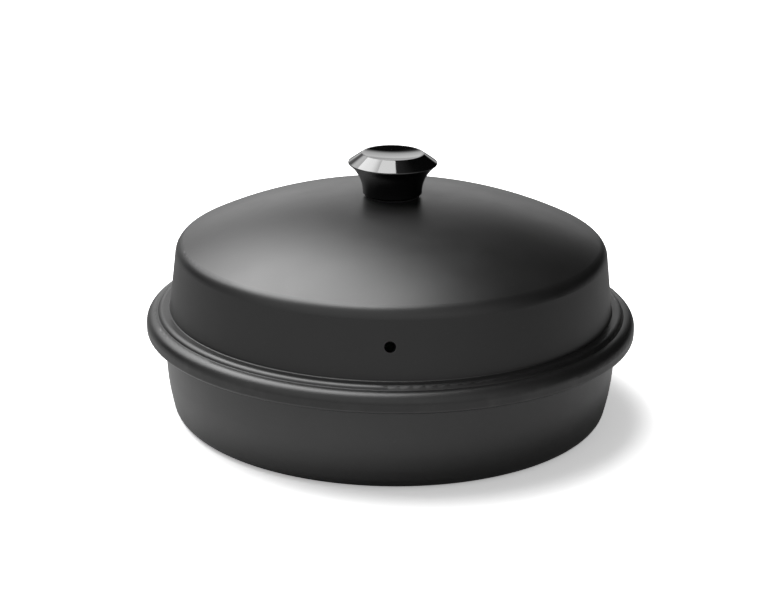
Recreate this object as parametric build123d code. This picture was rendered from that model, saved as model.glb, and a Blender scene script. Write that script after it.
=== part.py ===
from build123d import *

import math
import os

# Stovetop ring oven in millimetres: +Z up, origin on the ground under the middle of the base, front at -Y.
# The three vessels are sheet metal, so each is drawn as one skin with corners and bends, plus a thickness.

# Sheet thicknesses and the small radius on every cut edge
base_sheet = 0.8
mould_sheet = 1.0
lid_sheet = 1.2
edge_round = 0.25

# Base shell
base_height = 51.25
base_corner_bend = 6.5
base_foot_lean = 12.3
base_knee_height = 17.0
base_knee_bend = 100.0
base_wall_lean = 3.8
base_rim_width = 5.2
base_rim_bend = 1.5
flame_hole_radius = 30.0
collar_height = 22.0
collar_bend = 5.0

# Baking mould
side_air_gap = 2.5
floor_air_gap = 11.2
mould_lean = 10.0
mould_corner_bend = 16.0
mould_rim_bend = 2.0
collar_air_gap = 6.0
chimney_foot_bend = 9.0
chimney_top_radius = 24.5
chimney_rise = 11.7
chimney_lip_width = 3.0
chimney_lip_bend = 1.2

# Lid rim: a rolled skirt with a turned-in edge, a groove, and a rounded shelf that the wall stands on
rim_radius = 125.0
roll_bend = 5.2
curl_bend = 1.5
curl_corner_drop = 8.9
curl_run = 1.1
curl_lean = 37.7
groove_inset = 5.85
groove_bend = 0.4
shelf_height = 1.95
shelf_edge_lean = 26.0
shelf_edge_bend = 3.0
shelf_width = 5.05

# Lid wall and dome
wall_foot_bend = 0.6
wall_flare = 6.73
shoulder_rise = 33.0
shoulder_bend = 7.4
dome_slope = 26.2
dome_rise = 24.0
dome_bend = 210.0
vent_count = 4
vent_radius = 2.7
vent_drop = 16.7

# Knob
seat_washer_thickness = 0.8
seat_washer_radius = 13.7
knob_foot_radius = 15.0
knob_foot_chamfer = 0.9
knob_rim_radius = 22.8
knob_rim_rise = 16.3
knob_rim_round = 0.45
knob_disc_radius = 15.6
knob_height = 21.4
knob_disc_round = 0.4
dish_margin = 0.9
dish_depth = 1.3

# Knob fixing
screw_radius = 2.5
screw_clearance = 0.3
thread_fit = 0.05
moulding_fit = 0.02
insert_flats = 8.0
insert_length = 12.0
insert_chamfer = 0.5
screw_reach = 10.0
screw_head_radius = 4.75
screw_head_height = 3.2
screw_head_crown = 1.2
screw_tip_chamfer = 0.6
recess_length = 5.0
recess_width = 1.2
recess_depth = 2.0
recess_taper = 10.0
flat_washer_radius = 5.0
flat_washer_thickness = 1.0
lock_washer_radius = 4.6
lock_washer_thickness = 1.2
lock_washer_gap = 0.9

# Air between the base's rim and the inside of the lid's roll
rim_air_gap = 0.35

# How far a pin or block that cuts a hole stands out past the metal on each side
cutter_margin = 3.0

# Straight runs shorter than this are left out between two bends
shortest_run = 0.00001


def slope(degrees):
    return math.tan(math.radians(degrees))


def moved(point, angle, distance):
    """The point a distance away, with the angle counted from straight out towards straight up."""
    return (
        point[0] + distance * math.cos(math.radians(angle)),
        point[1] + distance * math.sin(math.radians(angle)),
    )


def heading(start, end):
    return math.degrees(math.atan2(end[1] - start[1], end[0] - start[0]))


def turn_between(before, after):
    """The change from one heading to the next, positive to the left."""
    return (after - before + 180) % 360 - 180


def turns(corners):
    headings = [heading(a, b) for a, b in zip(corners, corners[1:])]
    return [turn_between(a, b) for a, b in zip(headings, headings[1:])]


def fitted_bends(corners, bends):
    """The bends, made smaller where two of them would not fit in the straight run between them."""
    runs = [math.dist(a, b) for a, b in zip(corners, corners[1:])]
    runs[0] -= edge_round
    runs[-1] -= edge_round
    used = [bend * slope(abs(turn) / 2) for bend, turn in zip(bends, turns(corners))]
    share = []
    for index, length in enumerate(used):
        before = length + (used[index - 1] if index > 0 else 0)
        after = length + (used[index + 1] if index + 1 < len(used) else 0)
        share.append(min(1, runs[index] / before, runs[index + 1] / after))
    return [bend * part for bend, part in zip(bends, share)]


def far_corners(corners, thickness):
    """The corners of the sheet's other face, which lies to the left of the first."""
    headings = [heading(a, b) for a, b in zip(corners, corners[1:])]
    first = moved(corners[0], headings[0] + 90, thickness)
    last = moved(corners[-1], headings[-1] + 90, thickness)
    middle = []
    for corner, before, turn in zip(corners[1:-1], headings, turns(corners)):
        reach = thickness / math.cos(math.radians(turn / 2))
        middle.append(moved(corner, before + turn / 2 + 90, reach))
    return [first] + middle + [last]


def rounded_outline(corners, radii):
    """A closed outline with an arc of its own radius at each corner, and straight runs between the arcs."""
    lines = []
    run_start = None
    for index, (corner, radius) in enumerate(zip(corners, radii)):
        before = heading(corners[index - 1], corner)
        after = heading(corner, corners[(index + 1) % len(corners)])
        turn = turn_between(before, after)
        reach = radius * slope(abs(turn) / 2)
        arc_start = moved(corner, before, -reach)
        arc_end = moved(corner, after, reach)
        inward = before + turn / 2 + math.copysign(90, turn)
        arc_middle = moved(corner, inward, radius / math.cos(math.radians(turn / 2)) - radius)
        if run_start is None:
            first_arc_start = arc_start
        elif math.dist(run_start, arc_start) > shortest_run:
            lines.append(Line(run_start, arc_start))
        if radius > 0:
            lines.append(ThreePointArc(arc_start, arc_middle, arc_end))
        run_start = arc_end
    lines.append(Line(run_start, first_arc_start))
    return Wire([edge for line in lines for edge in line.edges()])


def sheet_of_revolution(corners, bends, thickness):
    """Bent sheet metal turned about the upright axis, from the corners and bends of one face."""
    near = fitted_bends(corners, bends)
    far = [max(bend - math.copysign(thickness, turn), 0) for bend, turn in zip(near, turns(corners))]
    outline = corners + far_corners(corners, thickness)[::-1]
    radii = [edge_round] + near + [edge_round, edge_round] + far[::-1] + [edge_round]
    section = make_face(rounded_outline(outline, radii))
    return revolve(Plane.XZ * section, Axis.Z)


def ring(inner_radius, outer_radius, bottom, thickness):
    """A flat washer standing on the given height."""
    washer = Cylinder(outer_radius, thickness) - Cylinder(inner_radius, thickness)
    return Pos(0, 0, bottom + thickness / 2) * washer


# The lid's rim. Its roll rests on the mould's rim, which rests on the base's rim.
mould_rim_top = base_height + mould_sheet
roll_top = mould_rim_top + lid_sheet
shelf_top = roll_top + shelf_height
curl_corner = (rim_radius, roll_top - curl_corner_drop)
curled_edge = moved(curl_corner, curl_lean + 180, curl_run)
groove_radius = rim_radius - groove_inset
shelf_edge_radius = groove_radius - shelf_height * slope(shelf_edge_lean)
wall_foot_radius = shelf_edge_radius - shelf_width
shoulder_height = shelf_top + shoulder_rise
shoulder_radius = wall_foot_radius - shoulder_rise * slope(wall_flare)
land_height = shoulder_height + dome_rise
dome_corner_radius = shoulder_radius - dome_rise / slope(dome_slope)
hole_radius = screw_radius + screw_clearance

# The mould's rim ends where the roll starts to bend down, so that the lid stands flat on it.
# The base's rim reaches further, to where the roll's inside has come down to an air gap over it.
roll_start_radius = rim_radius - roll_bend
roll_inside_bend = roll_bend - lid_sheet
roll_drop = mould_sheet - rim_air_gap
mould_rim_radius = roll_start_radius + edge_round
base_rim_radius = roll_start_radius + math.sqrt(2 * roll_inside_bend * roll_drop - roll_drop**2)
base_mouth_radius = base_rim_radius - base_rim_width

# The knob stands on its washer on the lid's land, and its screw's washers lie under the land.
knob_bottom = land_height + seat_washer_thickness
flat_washer_bottom = land_height - lid_sheet - flat_washer_thickness
screw_seat = flat_washer_bottom - lock_washer_thickness


def base_shell():
    rim_underside = base_height - base_sheet
    knee_radius = base_mouth_radius - (rim_underside - base_knee_height) * slope(base_wall_lean)
    foot_radius = knee_radius - base_knee_height * slope(base_foot_lean)
    corners = [
        (flame_hole_radius, collar_height),
        (flame_hole_radius, 0),
        (foot_radius, 0),
        (knee_radius, base_knee_height),
        (base_mouth_radius, rim_underside),
        (base_rim_radius, rim_underside),
    ]
    bends = [collar_bend, base_corner_bend, base_knee_bend, base_rim_bend]
    return sheet_of_revolution(corners, bends, base_sheet)


def baking_mould():
    floor = base_sheet + floor_air_gap
    mouth_radius = base_mouth_radius - base_sheet / math.cos(math.radians(base_wall_lean)) - side_air_gap
    foot_radius = mouth_radius - (base_height - floor) * slope(mould_lean)
    chimney_foot_radius = flame_hole_radius + base_sheet + collar_air_gap
    chimney_top = mould_rim_top + chimney_rise
    corners = [
        (chimney_top_radius + chimney_lip_width, chimney_top),
        (chimney_top_radius, chimney_top),
        (chimney_foot_radius, floor),
        (foot_radius, floor),
        (mouth_radius, base_height),
        (mould_rim_radius, base_height),
    ]
    bends = [chimney_lip_bend, chimney_foot_bend, mould_corner_bend, mould_rim_bend]
    return sheet_of_revolution(corners, bends, mould_sheet)


def lid_shell():
    corners = [
        curled_edge,
        curl_corner,
        (rim_radius, roll_top),
        (groove_radius, roll_top),
        (shelf_edge_radius, shelf_top),
        (wall_foot_radius, shelf_top),
        (shoulder_radius, shoulder_height),
        (dome_corner_radius, land_height),
        (hole_radius, land_height),
    ]
    bends = [curl_bend, roll_bend, groove_bend, shelf_edge_bend, wall_foot_bend, shoulder_bend, dome_bend]
    shell = sheet_of_revolution(corners, bends, lid_sheet)
    return shell - vent_cutters()


def vent_cutters():
    """Pins square to the flared wall, the first at the front."""
    wall_radius = shoulder_radius + vent_drop * slope(wall_flare)
    wall_spot = Pos(wall_radius, 0, shoulder_height - vent_drop)
    pin = wall_spot * Rot(0, 90 - wall_flare, 0) * Cylinder(vent_radius, lid_sheet + 2 * cutter_margin)
    return [turn * pin for turn in PolarLocations(0, vent_count, start_angle=-90)]


def hexagon_bar(across_flats, bottom, length):
    hexagon = RegularPolygon(across_flats / 2, 6, major_radius=False)
    return extrude(Pos(0, 0, bottom) * hexagon, length)


def knob_body():
    """A concave waist under a sharp rim, a straight cone above it and a dished top."""
    dish_radius = knob_disc_radius - dish_margin
    foot_inner = (knob_foot_radius - knob_foot_chamfer, 0)
    foot_outer = (knob_foot_radius, knob_foot_chamfer)
    rim = (knob_rim_radius, knob_rim_rise)
    disc_edge = (knob_disc_radius, knob_height)
    dish_edge = (dish_radius, knob_height)
    dish_bottom = (0, knob_height - dish_depth)
    outline = [
        Polyline(dish_bottom, (0, 0), foot_inner, foot_outer),
        TangentArc(foot_outer, rim, tangent=(0, 1)),
        Polyline(rim, disc_edge, dish_edge),
        TangentArc(dish_bottom, dish_edge, tangent=(1, 0)),
    ]
    section = make_face(Wire([edge for line in outline for edge in line.edges()]))
    section = fillet(section.vertices().sort_by_distance(rim)[0], knob_rim_round)
    section = fillet(section.vertices().sort_by_distance(disc_edge)[0], knob_disc_round)
    body = Pos(0, 0, knob_bottom) * revolve(Plane.XZ * section, Axis.Z)
    return body - hexagon_bar(insert_flats + 2 * moulding_fit, knob_bottom, insert_length)


def knob_insert():
    bar = hexagon_bar(insert_flats, knob_bottom, insert_length)
    bore = Pos(0, 0, knob_bottom + insert_length / 2) * Cylinder(screw_radius + thread_fit, insert_length)
    sleeve = bar - bore
    mouths = sleeve.edges().filter_by(GeomType.CIRCLE)
    return chamfer(mouths, insert_chamfer)


def knob_screw():
    """A pan head under the lid, its shank up through the lid and into the knob's sleeve."""
    head = Pos(0, 0, screw_seat - screw_head_height / 2) * Cylinder(screw_head_radius, screw_head_height)
    head = fillet(head.edges().filter_by(GeomType.CIRCLE).sort_by(Axis.Z)[0], screw_head_crown)
    shank_length = knob_bottom + screw_reach - screw_seat
    shank = Pos(0, 0, screw_seat + shank_length / 2) * Cylinder(screw_radius, shank_length)
    shank = chamfer(shank.edges().filter_by(GeomType.CIRCLE).sort_by(Axis.Z)[-1], screw_tip_chamfer)
    cross = Rectangle(recess_length, recess_width) + Rectangle(recess_width, recess_length)
    recess = extrude(Pos(0, 0, screw_seat - screw_head_height) * cross, recess_depth, taper=recess_taper)
    return head + shank - recess


def lock_washer():
    """A washer with one slit, its edges pressed flat by the screw."""
    washer = ring(hole_radius, lock_washer_radius, screw_seat, lock_washer_thickness)
    slit_height = lock_washer_thickness + 2 * cutter_margin
    slit = Box(2 * lock_washer_radius, lock_washer_gap, slit_height)
    return washer - Pos(lock_washer_radius, 0, screw_seat) * slit


nodes = {
    "base_shell": base_shell(),
    "baking_mould": baking_mould(),
    "lid_shell": lid_shell(),
    "knob_seat_washer": ring(hole_radius, seat_washer_radius, land_height, seat_washer_thickness),
    "knob_body": knob_body(),
    "knob_insert": knob_insert(),
    "knob_screw": knob_screw(),
    "lock_washer": lock_washer(),
    "flat_washer": ring(hole_radius, flat_washer_radius, flat_washer_bottom, flat_washer_thickness),
}

os.makedirs("parts", exist_ok=True)
for name, solid in nodes.items():
    export_step(solid, f"parts/{name}.step")
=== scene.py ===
import math

import bpy
from mathutils import Matrix, Vector


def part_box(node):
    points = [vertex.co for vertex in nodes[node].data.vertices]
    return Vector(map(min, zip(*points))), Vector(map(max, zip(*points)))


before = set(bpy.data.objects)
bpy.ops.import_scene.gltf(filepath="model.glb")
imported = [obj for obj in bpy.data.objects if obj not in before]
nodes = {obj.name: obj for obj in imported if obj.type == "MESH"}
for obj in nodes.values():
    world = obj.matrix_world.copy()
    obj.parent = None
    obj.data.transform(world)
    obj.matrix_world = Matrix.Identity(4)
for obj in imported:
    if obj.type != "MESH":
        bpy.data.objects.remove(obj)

scene = bpy.context.scene
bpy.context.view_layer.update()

# Camera: its place in metres, its lens and sensor in millimetres, its dip in degrees, the rest in radians
camera_place = (0, -0.951, 0.3834)
lens_length = 90.62
sensor_width = 36
camera_dip = 18.98
camera_turn = 0.0015
camera_roll = 0.0136

# Places on the object, in metres
rim_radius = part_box("lid_shell")[1].x
rubbed_width = 0.0012
knob_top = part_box("knob_body")[1].z
knob_cone_height = 0.0051
# Where the painted shade on the knob's waist starts below the cone, and how far it fades
waist_gap = 0.0003
waist_shade_fade = 0.0007
flame_hole_radius = 0.030
scorch_start = 0.010
scorch_end = 0.034

# Floor, in metres
floor_reach = 8
floor_drop = 0.0002
# Radii of the pool of light painted into the floor's colour, seen in reflections
painted_pool_inner_radius = 0.14
painted_pool_outer_radius = 0.26

# Lamps, in metres
lamp_aim = Vector((0, 0, 0.08))
lamp_distance = 1.3

# How bright each part of the surroundings is, where 1 is white
key_level = 2.7
overhead_level = 1.8
glow_level = 2.48
sheet_level = 1.12
front_wall_level = 0.53
back_wall_level = 0.36
room_level = 0.2


def add_camera():
    """A long lens that looks down a little, turned and rolled by less than a degree."""
    data = bpy.data.cameras.new("photo_camera")
    data.sensor_width = sensor_width
    data.lens = lens_length
    camera = bpy.data.objects.new("photo_camera", data)
    turn = Matrix.Rotation(camera_turn, 4, "Z")
    tip = Matrix.Rotation(math.radians(90 - camera_dip), 4, "X")
    roll = Matrix.Rotation(camera_roll, 4, "Z")
    camera.matrix_world = Matrix.Translation(camera_place) @ turn @ tip @ roll
    scene.collection.objects.link(camera)
    scene.camera = camera


def direction(compass, height):
    """A unit vector from two angles: round from +X towards +Y, and up from the horizon."""
    flat = math.cos(math.radians(height))
    across = flat * math.cos(math.radians(compass))
    along = flat * math.sin(math.radians(compass))
    return Vector((across, along, math.sin(math.radians(height))))


# Lamps
def area_lamp(name, compass, height, size, level):
    """A soft box that faces the object, with its power worked out from how bright it looks."""
    data = bpy.data.lights.new(name, "AREA")
    data.shape = "RECTANGLE"
    data.size, data.size_y = size
    data.energy = level * math.pi * size[0] * size[1]
    lamp = bpy.data.objects.new(name, data)
    toward = direction(compass, height)
    lamp.location = lamp_aim + lamp_distance * toward
    lamp.rotation_euler = (-toward).to_track_quat("-Z", "Y").to_euler()
    lamp.visible_camera = False
    scene.collection.objects.link(lamp)


def add_lamps():
    area_lamp("key_softbox", 157, 68, (1.22, 1.16), key_level)
    area_lamp("overhead_softbox", 195, 82, (0.56, 0.60), overhead_level)


# Node helpers
def new_tree(owner):
    owner.use_nodes = True
    owner.node_tree.nodes.clear()
    return owner.node_tree


def math_node(tree, operation, *values):
    """One sum or other step; each value is a number or a socket."""
    node = tree.nodes.new("ShaderNodeMath")
    node.operation = operation
    for socket, value in zip(node.inputs, values):
        if isinstance(value, (int, float)):
            socket.default_value = value
        else:
            tree.links.new(value, socket)
    return node.outputs[0]


def product(tree, first, second):
    return math_node(tree, "MULTIPLY", first, second)


def ranged(tree, source, low, high, to_low=0.0, to_high=1.0, smooth=False):
    """The source's span from low to high, carried over to another span and held at its ends."""
    node = tree.nodes.new("ShaderNodeMapRange")
    node.interpolation_type = "SMOOTHSTEP" if smooth else "LINEAR"
    for socket, value in zip(("From Min", "From Max", "To Min", "To Max"), (low, high, to_low, to_high)):
        node.inputs[socket].default_value = value
    tree.links.new(source, node.inputs["Value"])
    return node.outputs["Result"]


def mix_color(tree, factor, first, second):
    """A colour socket that blends two colours; each is a triple or another socket."""
    node = tree.nodes.new("ShaderNodeMix")
    node.data_type = "RGBA"
    tree.links.new(factor, node.inputs["Factor"])
    for slot, color in (("A", first), ("B", second)):
        socket = next(s for s in node.inputs if s.name == slot and s.type == "RGBA")
        if isinstance(color, tuple):
            socket.default_value = (*color, 1)
        else:
            tree.links.new(color, socket)
    return next(s for s in node.outputs if s.type == "RGBA")


def grey(level):
    return (level, level, level)


def object_place(tree):
    return tree.nodes.new("ShaderNodeTexCoord").outputs["Object"]


def split_axes(tree, vector):
    node = tree.nodes.new("ShaderNodeSeparateXYZ")
    tree.links.new(vector, node.inputs[0])
    return node.outputs


def height_up(tree):
    """How high each point lies, in metres."""
    return split_axes(tree, object_place(tree))["Z"]


def axis_radius(tree):
    """How far each point lies from the upright axis, in metres."""
    axes = split_axes(tree, object_place(tree))
    across = math_node(tree, "POWER", axes["X"], 2.0)
    squares = math_node(tree, "MULTIPLY_ADD", axes["Y"], axes["Y"], across)
    return math_node(tree, "SQRT", squares)


# Floor and surroundings
def add_floor():
    """A sheet that keeps the shadow: white to the camera, and in reflections a pool of light painted into its
    colour, pale near the object and grey farther off.
    """
    material = bpy.data.materials.new("floor_white")
    tree = new_tree(material)
    output = tree.nodes.new("ShaderNodeOutputMaterial")
    seen = tree.nodes.new("ShaderNodeLightPath").outputs["Is Camera Ray"]
    diffuse = tree.nodes.new("ShaderNodeBsdfDiffuse")
    # Painted light: for reflections the floor's colour is paler near the object, a painted pool of light that
    # fades to grey farther off
    far_off = ranged(tree, axis_radius(tree), painted_pool_inner_radius, painted_pool_outer_radius, smooth=True)
    painted_pool = mix_color(tree, far_off, grey(0.76), grey(0.35))
    tree.links.new(mix_color(tree, seen, painted_pool, grey(1.8)), diffuse.inputs["Color"])
    lift = tree.nodes.new("ShaderNodeEmission")
    tree.links.new(product(tree, seen, 0.36), lift.inputs["Strength"])
    both = tree.nodes.new("ShaderNodeAddShader")
    tree.links.new(diffuse.outputs[0], both.inputs[0])
    tree.links.new(lift.outputs[0], both.inputs[1])
    tree.links.new(both.outputs[0], output.inputs["Surface"])

    mesh = bpy.data.meshes.new("floor")
    corners = [(x * floor_reach, y * floor_reach, 0) for x, y in ((-1, -1), (1, -1), (1, 1), (-1, 1))]
    mesh.from_pydata(corners, [], [(0, 1, 2, 3)])
    mesh.materials.append(material)
    floor = bpy.data.objects.new("floor", mesh)
    floor.location.z = -floor_drop
    scene.collection.objects.link(floor)


def add_world():
    """White to the camera. A glow lights the object, and reflections also find a low sheet and two walls."""
    world = bpy.data.worlds.new("studio")
    scene.world = world
    tree = new_tree(world)
    output = tree.nodes.new("ShaderNodeOutputWorld")
    rays = tree.nodes.new("ShaderNodeLightPath").outputs
    place = tree.nodes.new("ShaderNodeTexCoord").outputs["Generated"]
    axes = split_axes(tree, place)

    def patch(compass, height, inner, outer, level):
        """A level inside the inner angle round a direction, none beyond the outer angle."""
        aim = tree.nodes.new("ShaderNodeVectorMath")
        aim.operation = "DOT_PRODUCT"
        aim.inputs[1].default_value = direction(compass, height)
        tree.links.new(place, aim.inputs[0])
        edge = math.cos(math.radians(outer))
        middle = math.cos(math.radians(inner))
        return product(tree, ranged(tree, aim.outputs["Value"], edge, middle, smooth=True), level)

    behind = ranged(tree, axes["Y"], 0.91, 0.96, smooth=True)
    low_down = ranged(tree, axes["Z"], 0.38, 0.42, 1, 0, smooth=True)
    off_floor = ranged(tree, axes["Z"], 0.0, 0.16, 0.35, 1, smooth=True)
    sheet = product(tree, product(tree, product(tree, behind, low_down), sheet_level), off_floor)
    front_wall = patch(255, 7, 5, 110, front_wall_level)
    back_wall = patch(112, 2, 5, 32, back_wall_level)
    mirrored = math_node(tree, "ADD", math_node(tree, "ADD", front_wall, back_wall), sheet)
    mirrored = product(tree, mirrored, rays["Is Glossy Ray"])
    seen = math_node(tree, "MAXIMUM", rays["Is Camera Ray"], rays["Is Transmission Ray"])
    room = product(tree, rays["Is Diffuse Ray"], room_level)
    glow = patch(133, 45, 14, 29, glow_level)
    lit = math_node(tree, "ADD", glow, math_node(tree, "ADD", mirrored, room))
    background = tree.nodes.new("ShaderNodeBackground")
    background.inputs["Color"].default_value = (*grey(1), 1)
    tree.links.new(math_node(tree, "MAXIMUM", seen, lit), background.inputs["Strength"])
    tree.links.new(background.outputs[0], output.inputs["Surface"])


# Material helpers
def principled(name, color, roughness, metallic=0.0, ior=1.5):
    material = bpy.data.materials.new(name)
    tree = new_tree(material)
    output = tree.nodes.new("ShaderNodeOutputMaterial")
    shader = tree.nodes.new("ShaderNodeBsdfPrincipled")
    shader.inputs["Base Color"].default_value = (*color, 1)
    shader.inputs["Roughness"].default_value = roughness
    shader.inputs["Metallic"].default_value = metallic
    shader.inputs["IOR"].default_value = ior
    tree.links.new(shader.outputs[0], output.inputs["Surface"])
    return material, tree, shader


def noise(tree, scale, detail=2.0, roughness=0.5):
    node = tree.nodes.new("ShaderNodeTexNoise")
    node.inputs["Scale"].default_value = scale
    node.inputs["Detail"].default_value = detail
    node.inputs["Roughness"].default_value = roughness
    tree.links.new(object_place(tree), node.inputs["Vector"])
    return node.outputs["Fac"]


def turning_marks(tree, per_metre):
    """Noise that runs in rings about the axis, as a lathe or a spinning tool leaves it."""
    along = math_node(tree, "ADD", axis_radius(tree), height_up(tree))
    node = tree.nodes.new("ShaderNodeTexNoise")
    node.noise_dimensions = "1D"
    node.inputs["Scale"].default_value = per_metre
    node.inputs["Detail"].default_value = 3
    tree.links.new(along, node.inputs["W"])
    return node.outputs["Fac"]


def add_bumps(tree, shader, *layers):
    """Bumps on top of each other; each layer is a height socket and its depth in metres."""
    below = None
    for height, depth in layers:
        node = tree.nodes.new("ShaderNodeBump")
        node.inputs["Strength"].default_value = 1.0
        node.inputs["Distance"].default_value = depth
        tree.links.new(height, node.inputs["Height"])
        if below is not None:
            tree.links.new(below, node.inputs["Normal"])
        below = node.outputs["Normal"]
    tree.links.new(below, shader.inputs["Normal"])


# Materials
def satin_coat(name):
    """A near-black baked coat: fine grain, faint mottle, light specks, and a rubbed outer edge of the rim."""
    material, tree, shader = principled(name, grey(0.01), 0.37, ior=1.8)
    mottled = mix_color(tree, noise(tree, 45, 4), grey(0.007), grey(0.012))
    specks = product(tree, ranged(tree, noise(tree, 900, 2), 0.66, 0.74), 0.35)
    speckled = mix_color(tree, specks, mottled, grey(0.035))
    edge = ranged(tree, axis_radius(tree), rim_radius - rubbed_width, rim_radius)
    rubbed = product(tree, edge, ranged(tree, noise(tree, 120, 4), 0.50, 0.75))
    tree.links.new(mix_color(tree, rubbed, speckled, (0.028, 0.028, 0.027)), shader.inputs["Base Color"])
    rough = ranged(tree, noise(tree, 70, 4), 0.3, 0.7, 0.355, 0.385)
    rough = math_node(tree, "SUBTRACT", rough, product(tree, rubbed, 0.05))
    tree.links.new(rough, shader.inputs["Roughness"])
    grain = ranged(tree, noise(tree, 1500, 3), 0.3, 0.7)
    add_bumps(tree, shader, (noise(tree, 28, 1), 0.00006), (grain, 0.000006))
    return material


def scorched_coat(name):
    """The same coat, dulled and browned where the flame passes through the middle."""
    material = satin_coat(name)
    tree = material.node_tree
    shader = next(node for node in tree.nodes if node.type == "BSDF_PRINCIPLED")
    coat_color = shader.inputs["Base Color"].links[0].from_socket
    coat_rough = shader.inputs["Roughness"].links[0].from_socket
    uneven = math_node(tree, "MULTIPLY_ADD", noise(tree, 90, 4), 0.016, axis_radius(tree))
    near = flame_hole_radius + scorch_start
    far = flame_hole_radius + scorch_end
    heat = ranged(tree, uneven, near, far, 1, 0, smooth=True)
    browned = mix_color(tree, noise(tree, 60, 4), (0.030, 0.020, 0.014), (0.055, 0.045, 0.038))
    tree.links.new(mix_color(tree, heat, coat_color, browned), shader.inputs["Base Color"])
    tree.links.new(math_node(tree, "MULTIPLY_ADD", heat, 0.2, coat_rough), shader.inputs["Roughness"])
    return material


def spun_aluminium(name):
    """Bare aluminium with rings from spinning and a thin, cloudy bloom from the oven's heat."""
    material, tree, shader = principled(name, (0.75, 0.75, 0.74), 0.32, metallic=1.0)
    rings = turning_marks(tree, 1400)
    clean = mix_color(tree, rings, (0.70, 0.70, 0.69), (0.80, 0.80, 0.79))
    bloom = ranged(tree, noise(tree, 22, 5, 0.6), 0.45, 0.75, 0, 0.45)
    tree.links.new(mix_color(tree, bloom, clean, (0.56, 0.54, 0.50)), shader.inputs["Base Color"])
    rough = math_node(tree, "MULTIPLY_ADD", rings, 0.10, 0.27)
    tree.links.new(math_node(tree, "MULTIPLY_ADD", bloom, 0.25, rough), shader.inputs["Roughness"])
    add_bumps(tree, shader, (rings, 0.00002), (noise(tree, 1800, 2), 0.000004))
    return material


def gloss_moulding(name):
    """Polished black plastic with faint smears and a slight ripple. Painted shade: a dark specular tint dims
    the reflection on the waist under the cone, so it mirrors less.
    """
    material, tree, shader = principled(name, grey(0.004), 0.05, ior=2.1)
    smears = ranged(tree, noise(tree, 130, 4, 0.6), 0.5, 0.8)
    tree.links.new(mix_color(tree, smears, grey(0.0035), grey(0.007)), shader.inputs["Base Color"])
    tree.links.new(math_node(tree, "MULTIPLY_ADD", smears, 0.06, 0.04), shader.inputs["Roughness"])
    waist_top = knob_top - knob_cone_height - waist_gap
    # Painted shade: the specular tint goes dark below the cone, so the waist mirrors less
    waist_painted_shade = ranged(tree, height_up(tree), waist_top - waist_shade_fade, waist_top, 1, 0)
    tree.links.new(mix_color(tree, waist_painted_shade, grey(1.0), grey(0.12)), shader.inputs["Specular Tint"])
    add_bumps(tree, shader, (noise(tree, 55, 1), 0.000012), (noise(tree, 2600, 1), 0.0000004))
    return material


def turned_metal(name, light, dark, roughness, marks_per_metre):
    """A small machined part: turning marks, and plating or tarnish that clouds its colour and gloss."""
    material, tree, shader = principled(name, light, roughness, metallic=1.0)
    clouds = ranged(tree, noise(tree, 420, 4, 0.6), 0.40, 0.72)
    tree.links.new(mix_color(tree, clouds, light, dark), shader.inputs["Base Color"])
    marks = turning_marks(tree, marks_per_metre)
    rough = math_node(tree, "MULTIPLY_ADD", marks, 0.12, roughness - 0.06)
    tree.links.new(math_node(tree, "MULTIPLY_ADD", clouds, 0.12, rough), shader.inputs["Roughness"])
    add_bumps(tree, shader, (marks, 0.00001), (noise(tree, 3500, 2), 0.000003))
    return material


def seat_fibre(name):
    """Dark pressed fibre, matt and a little flecked."""
    material, tree, shader = principled(name, grey(0.02), 0.8)
    flecks = ranged(tree, noise(tree, 1600, 3, 0.6), 0.52, 0.72)
    dark_fibre = (0.012, 0.012, 0.013)
    pale_fibre = (0.045, 0.042, 0.040)
    tree.links.new(mix_color(tree, flecks, dark_fibre, pale_fibre), shader.inputs["Base Color"])
    tree.links.new(math_node(tree, "MULTIPLY_ADD", noise(tree, 300, 3), 0.2, 0.7), shader.inputs["Roughness"])
    add_bumps(tree, shader, (flecks, 0.00003))
    return material


def dress(node, material):
    mesh = nodes[node].data
    mesh.materials.clear()
    mesh.materials.append(material)


def dress_all():
    zinc = (0.62, 0.64, 0.66)
    dull_zinc = (0.48, 0.49, 0.50)
    dark_zinc = (0.36, 0.36, 0.37)
    brass = (0.80, 0.60, 0.28)
    dull_brass = (0.52, 0.38, 0.18)
    dress("base_shell", scorched_coat("base_satin_coat"))
    dress("baking_mould", spun_aluminium("mould_spun_aluminium"))
    dress("lid_shell", satin_coat("lid_satin_coat"))
    dress("knob_seat_washer", seat_fibre("seat_dark_fibre"))
    dress("knob_body", gloss_moulding("knob_gloss_black"))
    dress("knob_insert", turned_metal("insert_turned_brass", brass, dull_brass, 0.30, 2500))
    dress("knob_screw", turned_metal("screw_zinc_plate", zinc, dull_zinc, 0.30, 3000))
    dress("lock_washer", turned_metal("lock_washer_zinc_plate", dull_zinc, dark_zinc, 0.38, 5000))
    dress("flat_washer", turned_metal("flat_washer_zinc_plate", zinc, dull_zinc, 0.34, 2200))


add_camera()
add_lamps()
add_floor()
add_world()
scene.view_settings.view_transform = "Standard"
dress_all()
